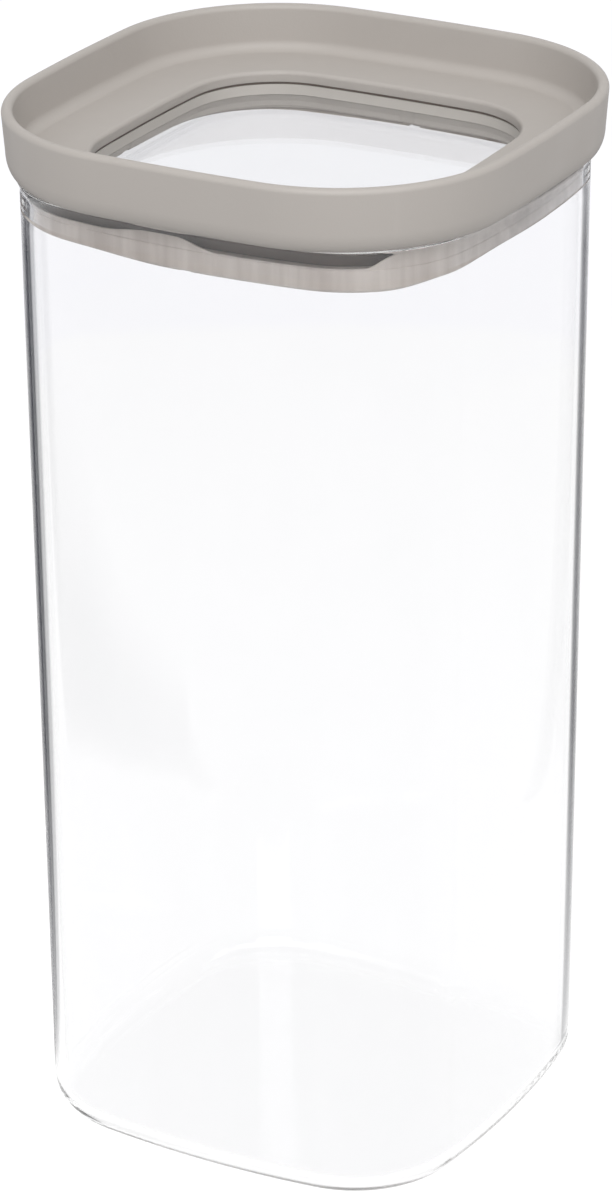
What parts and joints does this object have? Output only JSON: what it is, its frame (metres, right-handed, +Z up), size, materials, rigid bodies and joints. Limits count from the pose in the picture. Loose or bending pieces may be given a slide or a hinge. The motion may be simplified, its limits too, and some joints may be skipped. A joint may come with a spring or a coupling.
{
  "type": "lidded glass canister",
  "caption": "Tall square glass storage jar with rounded corners and a lift-off plastic lid that has a raised rim, a clear window and a soft seal.",
  "frame": {"origin": "middle of the jar's foot, on the surface it stands on", "axes": "+Z up along the jar, +X and +Y out through the middles of two neighbouring sides"},
  "size_m": [0.105, 0.105, 0.2143],
  "materials": {
    "jar_glass": "clear, fire-polished",
    "lid_plastic": "fine matte moulded, warm grey",
    "window_plastic": "clear moulded, polished",
    "gasket": "smooth silicone",
    "seal": "smooth silicone, warm grey"
  },
  "bodies": {
    "jar": {"glass_body": "jar_glass"},
    "lid": {"lid_frame": "lid_plastic", "window_pane": "window_plastic", "pane_seal": "gasket", "plug_ring": "lid_plastic", "seal_ring": "seal"}
  },
  "joints": [
    {"name": "lid_lift", "type": "slide", "parent": "jar", "child": "lid", "axis": [0, 0, 1], "range_m": [0, 0.12]}
  ]
}
